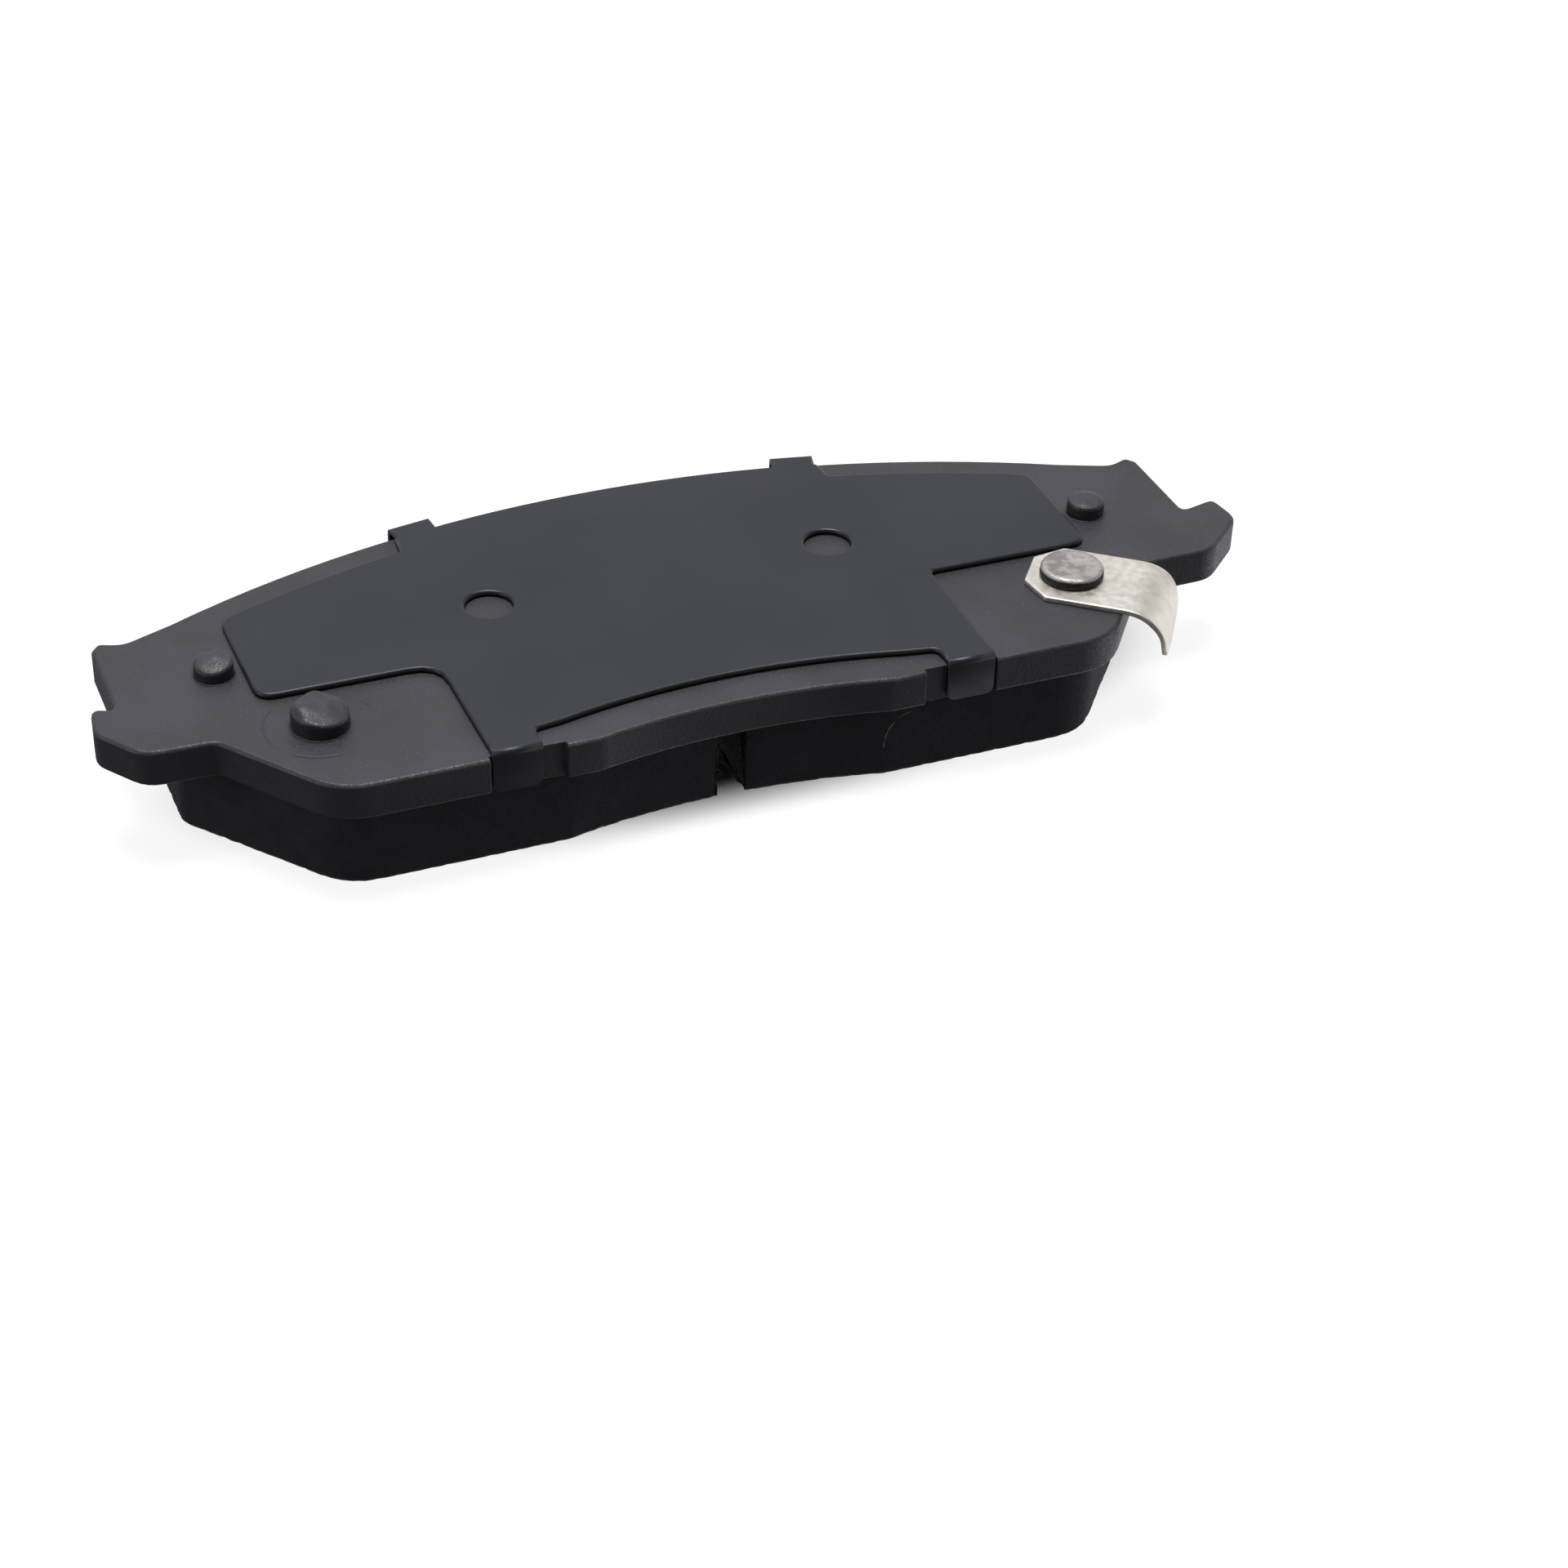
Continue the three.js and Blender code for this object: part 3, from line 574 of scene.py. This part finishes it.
def fibre_ends():
    work = bmesh.new()
    for index in range(FIBRE_COUNT):
        pick = noise.cell_vector(Vector((index, 3.5, 7.5)))
        side = 1 if index % 2 else -1
        height = 0.0008 + 0.0078 * abs(pick.x)
        wall = MIDDLE_X + side * (SLOT_HALF - 0.0001)
        root = Vector((wall, SLOT_MOUTH + 0.0004 + 0.004 * abs(pick.y), height))
        lean = Vector((-side * 0.8, -0.6 - 0.5 * abs(pick.z), 0.5 * pick.x)).normalized()
        fibre(work, root, lean, 0.0006 + 0.0011 * abs(pick.z))
    stray_hair(work, hair_line(), HAIR_THICK)
    bmesh.ops.recalc_face_normals(work, faces=work.faces)
    return work


def stray_hair(work, points, thick):
    """One long hair caught on the block's side, three-sided, through the given points."""
    rings = []
    for index, point in enumerate(points):
        turns = [2 * math.pi * side / 3 for side in range(3)]
        slim = thick * (0.6 if index in (0, len(points) - 1) else 1.0)
        rings.append([work.verts.new(point + Vector((math.cos(t), 0, math.sin(t))) * slim) for t in turns])
    for lower, upper in zip(rings, rings[1:]):
        for side in range(3):
            after = (side + 1) % 3
            work.faces.new((lower[side], lower[after], upper[after], upper[side]))
    work.faces.new(list(reversed(rings[0])))
    work.faces.new(rings[-1])


def hair_line():
    """A quarter turn that hangs from under the plate and curls off to the right at its top."""
    turns = [math.pi * (0.52 + 0.50 * step / HAIR_STEPS) for step in range(HAIR_STEPS + 1)]
    return [HAIR_TOP + Vector((HAIR_REACH * math.cos(t), HAIR_SWAY * math.sin(t), HAIR_HANG * math.sin(t)))
            for t in turns]


def fibre_finish():
    material, tree, shader, place = new_finish("pulled_fibre", 0.6)
    shade = texture(tree, place, 0.0006, 1.0)
    colour = blend_colours(tree, fade(tree, shade, 0.4, 0.6), FIBRE_DARK, FIBRE_PALE)
    link(tree, colour, shader.inputs["Base Color"])
    link(tree, fade(tree, shade, 0.3, 0.7, 0.5, 0.8), shader.inputs["Roughness"])
    return material


fibres = finished_piece("pulled_fibres", fibre_ends(), fibre_finish())
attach(fibres, "root")

# ---- shim liner ---------------------------------------------------------------------------------------------
# A thin black rubber coat stuck under the steel shim to damp squeal. Only its edge shows, as a dark line.
RUBBER_DARK = (0.008, 0.008, 0.009, 1)
RUBBER_LIGHT = (0.016, 0.016, 0.017, 1)


def liner_rubber():
    material, tree, shader, place = new_finish("liner_rubber", 0.85)
    shader.inputs["Specular IOR Level"].default_value = 0.3
    grain = texture(tree, place, 0.0003, 3.0)
    colour = blend_colours(tree, fade(tree, grain, 0.3, 0.7), RUBBER_DARK, RUBBER_LIGHT)
    link(tree, colour, shader.inputs["Base Color"])
    link(tree, fade(tree, grain, 0.3, 0.7, 0.78, 0.92), shader.inputs["Roughness"])
    relief(tree, shader, grain, 0.00002)
    return material


liner = frame["nodes"]["shim_liner"]
liner.data.materials.clear()
liner.data.materials.append(liner_rubber())

# ---- shim ---------------------------------------------------------------------------------------------------
# 0.6 mm cold-rolled sheet, stamped in one piece with four tabs that fold over the plate's edges and hold
# it. It is coated satin black, a shade bluer and smoother than the plate, and its cut edges catch the
# light.
SHIM_DIE_ROLL = 0.00042
SATIN_DARK = (0.0120, 0.0140, 0.0175, 1)
SATIN_LIGHT = (0.0165, 0.0185, 0.0225, 1)
SATIN_PAINTED_REFLECTION = (0.120, 0.116, 0.126, 1)
SHIM_LOW, SHIM_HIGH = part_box("shim")


def satin_coat():
    material, tree, shader, place = new_finish("satin_coat", 0.36)
    shader.inputs["Specular IOR Level"].default_value = 0.37
    cloud = texture(tree, place, 0.02, 3.0)
    grain = texture(tree, place, 0.00025, 2.0)
    rolled = texture(tree, place, 0.0012, 2.0, (0.06, 1, 1))
    colour = blend_colours(tree, fade(tree, cloud, 0.3, 0.7), SATIN_DARK, SATIN_LIGHT)
    # The tabs are painted paler towards their lower ends, most on the right: a painted reflection of the floor.
    down_tab = fade(tree, part_of(tree, place, "Z"), SHIM_LOW.z, SHIM_HIGH.z - 0.0012, 1.0, 0.0)
    to_right = fade(tree, part_of(tree, place, "X"), -0.02, 0.02, 0.12, 1.0)
    reflection_reach = sums(tree, "MULTIPLY", down_tab, to_right)
    painted_reflection = sums(tree, "MULTIPLY", reflection_reach, fade(tree, grain, 0.2, 0.8, 0.7, 1.0))
    colour = blend_colours(tree, painted_reflection, colour, SATIN_PAINTED_REFLECTION)
    link(tree, colour, shader.inputs["Base Color"])
    patches = sums(tree, "ADD", sums(tree, "MULTIPLY", cloud, 0.6), sums(tree, "MULTIPLY", rolled, 0.4))
    link(tree, fade(tree, patches, 0.3, 0.7, 0.33, 0.42), shader.inputs["Roughness"])
    under = relief(tree, shader, grain, 0.000006)
    relief(tree, shader, rolled, 0.0000012, under)
    return material


def stamped_sheet():
    """The sheet with the soft upper edge that the punch leaves all round it."""
    work = clean_copy("shim")
    work.normal_update()
    rims = [edge for edge in work.edges if min(vertex.co.z for vertex in edge.verts) > SHIM_HIGH.z - 1e-5
            and edge.calc_face_angle_signed(0) > math.radians(50)]
    round_over(work, rims, SHIM_DIE_ROLL, 5)
    return work


shim = finished_piece("clip_on_shim", stamped_sheet(), satin_coat())
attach(shim, "shim")
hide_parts("shim")

# ---- wear indicator -----------------------------------------------------------------------------------------
# One strip of zinc-plated spring steel. Its clipped heel sits under the rivet, and past the plate's slanted
# edge it curls down to a narrow tip that squeals on the disc when the friction block is worn.
LEAF_THICK = 0.0007
LEAF_HALF_WIDTH = 0.0064
LEAF_HEEL = 0.0056
HEEL_CLIP = 0.0034
CURL_START = 0.0073
CURL_LENGTH = 0.0093
TIP_DROP = 0.0084
TIP_HALF_WIDTH = 0.0013
TAPER_START_DROP = 0.0012
LEAF_STEP = 0.0003
LEAF_COLUMNS = 28
SHANK_HOLE = 0.00225
LEAF_ROLL = 0.00012
ZINC_DULL = (0.72, 0.685, 0.585, 1)
ZINC_BRIGHT = (0.77, 0.745, 0.65, 1)
ZINC_STAIN = (0.52, 0.45, 0.42, 1)
flex = next(joint for joint in frame["joints"] if joint["name"] == "indicator_flex")
HINGE_AXIS = Vector(flex["axis"])
LEAF_AHEAD = Vector((-HINGE_AXIS.y, HINGE_AXIS.x, 0)).normalized()
LEAF_ACROSS = Vector((-LEAF_AHEAD.y, LEAF_AHEAD.x, 0))
LEAF_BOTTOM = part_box("wear_indicator_foot")[0].z


def leaf_line():
    """Points along the middle of the strip: (run from the rivet, drop, downward slope), heel to tip."""
    run, drop, along = -LEAF_HEEL, 0.0, -LEAF_HEEL
    line = []
    while drop < TIP_DROP:
        share = min(max((along - CURL_START) / CURL_LENGTH, 0.0), 1.0)
        slope = math.pi / 2 * share * share * (3 - 2 * share)
        line.append((run, drop, slope))
        run += LEAF_STEP * math.cos(slope)
        drop += LEAF_STEP * math.sin(slope)
        along += LEAF_STEP
    return line


def leaf_half_width(run, drop):
    if run < HEEL_CLIP - LEAF_HEEL:
        return LEAF_HALF_WIDTH - HEEL_CLIP + (run + LEAF_HEEL)
    share = min(max((drop - TAPER_START_DROP) / (TIP_DROP - TAPER_START_DROP), 0.0), 1.0)
    eased = share * share * (1.6 - 0.6 * share)
    narrow = (LEAF_HALF_WIDTH - TIP_HALF_WIDTH) * (0.45 * share + 0.55 * eased)
    return LEAF_HALF_WIDTH - narrow


def curled_leaf():
    work = bmesh.new()
    rows = []
    for run, drop, slope in leaf_line():
        half = leaf_half_width(run, drop)
        middle = RIVET + LEAF_AHEAD * run
        middle.z = LEAF_BOTTOM - drop
        row = [middle + LEAF_ACROSS * half * (2 * column / LEAF_COLUMNS - 1)
               for column in range(LEAF_COLUMNS + 1)]
        rows.append([work.verts.new(point) for point in row])
    for lower, upper in zip(rows, rows[1:]):
        for column in range(LEAF_COLUMNS):
            face = work.faces.new((lower[column], upper[column], upper[column + 1], lower[column + 1]))
            if (face.calc_center_median() - RIVET).xy.length < SHANK_HOLE:
                work.faces.remove(face)
    work.normal_update()
    bmesh.ops.recalc_face_normals(work, faces=work.faces)
    if max(work.faces, key=lambda f: abs(f.normal.z)).normal.z < 0:
        bmesh.ops.reverse_faces(work, faces=work.faces)
    work.normal_update()
    bmesh.ops.solidify(work, geom=work.faces[:], thickness=-LEAF_THICK)
    bmesh.ops.recalc_face_normals(work, faces=work.faces)
    roll_edges(work, LEAF_ROLL, 2, 40)
    return work


def zinc_plate():
    material, tree, shader, place = new_finish("zinc_plate", 0.42, 1.0)
    brushed = texture(tree, place, 0.0011, 3.0, (1, 1, 0.3))
    cloud = texture(tree, place, 0.004, 3.0)
    stain = fade(tree, texture(tree, place, 0.0022, 4.0), 0.55, 0.75)
    colour = blend_colours(tree, fade(tree, cloud, 0.35, 0.65), ZINC_DULL, ZINC_BRIGHT)
    colour = blend_colours(tree, sums(tree, "MULTIPLY", stain, 0.35), colour, ZINC_STAIN)
    link(tree, colour, shader.inputs["Base Color"])
    link(tree, fade(tree, brushed, 0.3, 0.7, 0.40, 0.52), shader.inputs["Roughness"])
    under = relief(tree, shader, brushed, 0.00001)
    relief(tree, shader, cloud, 0.00002, under)
    return material


leaf = finished_piece("indicator_strip", curled_leaf(), zinc_plate())
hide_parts("wear_indicator_foot", "wear_indicator_leaf")
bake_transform(leaf)

# ---- rivet --------------------------------------------------------------------------------------------------
# A soft steel rivet whose shank is pressed into the plate. Its head was flattened by the tool, so the top is
# slightly dished and bruised, and it is left bare: grey, mottled and dull.
HEAD_RADIUS = (RIVET_HIGH.x - RIVET_LOW.x) / 2
HEAD_HEIGHT = 0.0015
HEAD_LIP = 0.0005
HEAD_DISH = 0.00010
SHANK_RADIUS = 0.002
RIVET_SIDES = 56
DISH_RINGS = 9
STEEL_PALE = (0.43, 0.41, 0.38, 1)
STEEL_GREY = (0.27, 0.255, 0.24, 1)
STEEL_PIT = (0.22, 0.20, 0.20, 1)
HEAD_SIDE_SHADE = (0.035, 0.032, 0.033, 1)


def turned(profile, sides):
    """A body turned about the rivet's axis, from (radius, height) points. It starts and ends on the axis."""
    work = bmesh.new()
    rings = []
    for radius, height in profile:
        if radius == 0:
            rings.append([work.verts.new((RIVET.x, RIVET.y, height))] * sides)
            continue
        turns = [2 * math.pi * side / sides for side in range(sides)]
        points = [(RIVET.x + radius * math.cos(t), RIVET.y + radius * math.sin(t), height) for t in turns]
        rings.append([work.verts.new(point) for point in points])
    for lower, upper in zip(rings, rings[1:]):
        for side in range(sides):
            after = (side + 1) % sides
            corners = []
            for vertex in (lower[side], lower[after], upper[after], upper[side]):
                if vertex not in corners:
                    corners.append(vertex)
            work.faces.new(corners)
    return work


def rivet_body():
    under = RIVET_HIGH.z - HEAD_HEIGHT
    top = RIVET_HIGH.z
    r = HEAD_RADIUS
    profile = [(0, RIVET_LOW.z), (SHANK_RADIUS * 0.9, RIVET_LOW.z), (SHANK_RADIUS, RIVET_LOW.z + 0.0003),
               (SHANK_RADIUS, under), (r - 0.0003, under), (r - 0.00005, under + 0.0002), (r, under + 0.0005),
               (r - 0.00005, top - 0.0004), (r - 0.0002, top - 0.00015), (r - HEAD_LIP, top)]
    for ring in range(1, DISH_RINGS):
        share = 1 - ring / DISH_RINGS
        profile.append(((r - HEAD_LIP) * share, top - HEAD_DISH * (1 - share * share)))
    profile.append((0, top - HEAD_DISH))
    work = turned(profile, RIVET_SIDES)
    for vertex in work.verts:
        if vertex.co.z > under + 0.0003:
            bruise = noise.noise(vertex.co / 0.0014) * 0.00007 + noise.noise(vertex.co / 0.0005) * 0.00002
            vertex.co.z += min(bruise, 0.0)
            out = Vector((vertex.co.x - RIVET.x, vertex.co.y - RIVET.y, 0))
            vertex.co += out * 0.02 * noise.noise(vertex.co / 0.003)
    bmesh.ops.recalc_face_normals(work, faces=work.faces)
    return work


def bare_steel():
    material, tree, shader, place = new_finish("bare_steel", 0.5, 0.85)
    blotch = texture(tree, place, 0.0018, 5.0)
    pits = fade(tree, texture(tree, place, 0.0006, 3.0), 0.55, 0.75)
    colour = blend_colours(tree, fade(tree, blotch, 0.4, 0.62), STEEL_PALE, STEEL_GREY)
    colour = blend_colours(tree, sums(tree, "MULTIPLY", pits, 0.4), colour, STEEL_PIT)
    # The side of the head, below its top rim, is painted near black: painted shade.
    lip = sums(tree, "ADD", part_of(tree, place, "Z"), sums(tree, "MULTIPLY", blotch, 0.0003))
    side = fade(tree, lip, RIVET_HIGH.z - 0.00035, RIVET_HIGH.z - 0.00010, 1.0, 0.0)
    colour = blend_colours(tree, side, colour, HEAD_SIDE_SHADE)
    link(tree, colour, shader.inputs["Base Color"])
    link(tree, fade(tree, blotch, 0.3, 0.7, 0.5, 0.72), shader.inputs["Roughness"])
    under = relief(tree, shader, blotch, 0.00008)
    relief(tree, shader, pits, -0.00003, under)
    return material


rivet = finished_piece("indicator_rivet_head", rivet_body(), bare_steel())
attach(rivet, "root")
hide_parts("indicator_rivet")
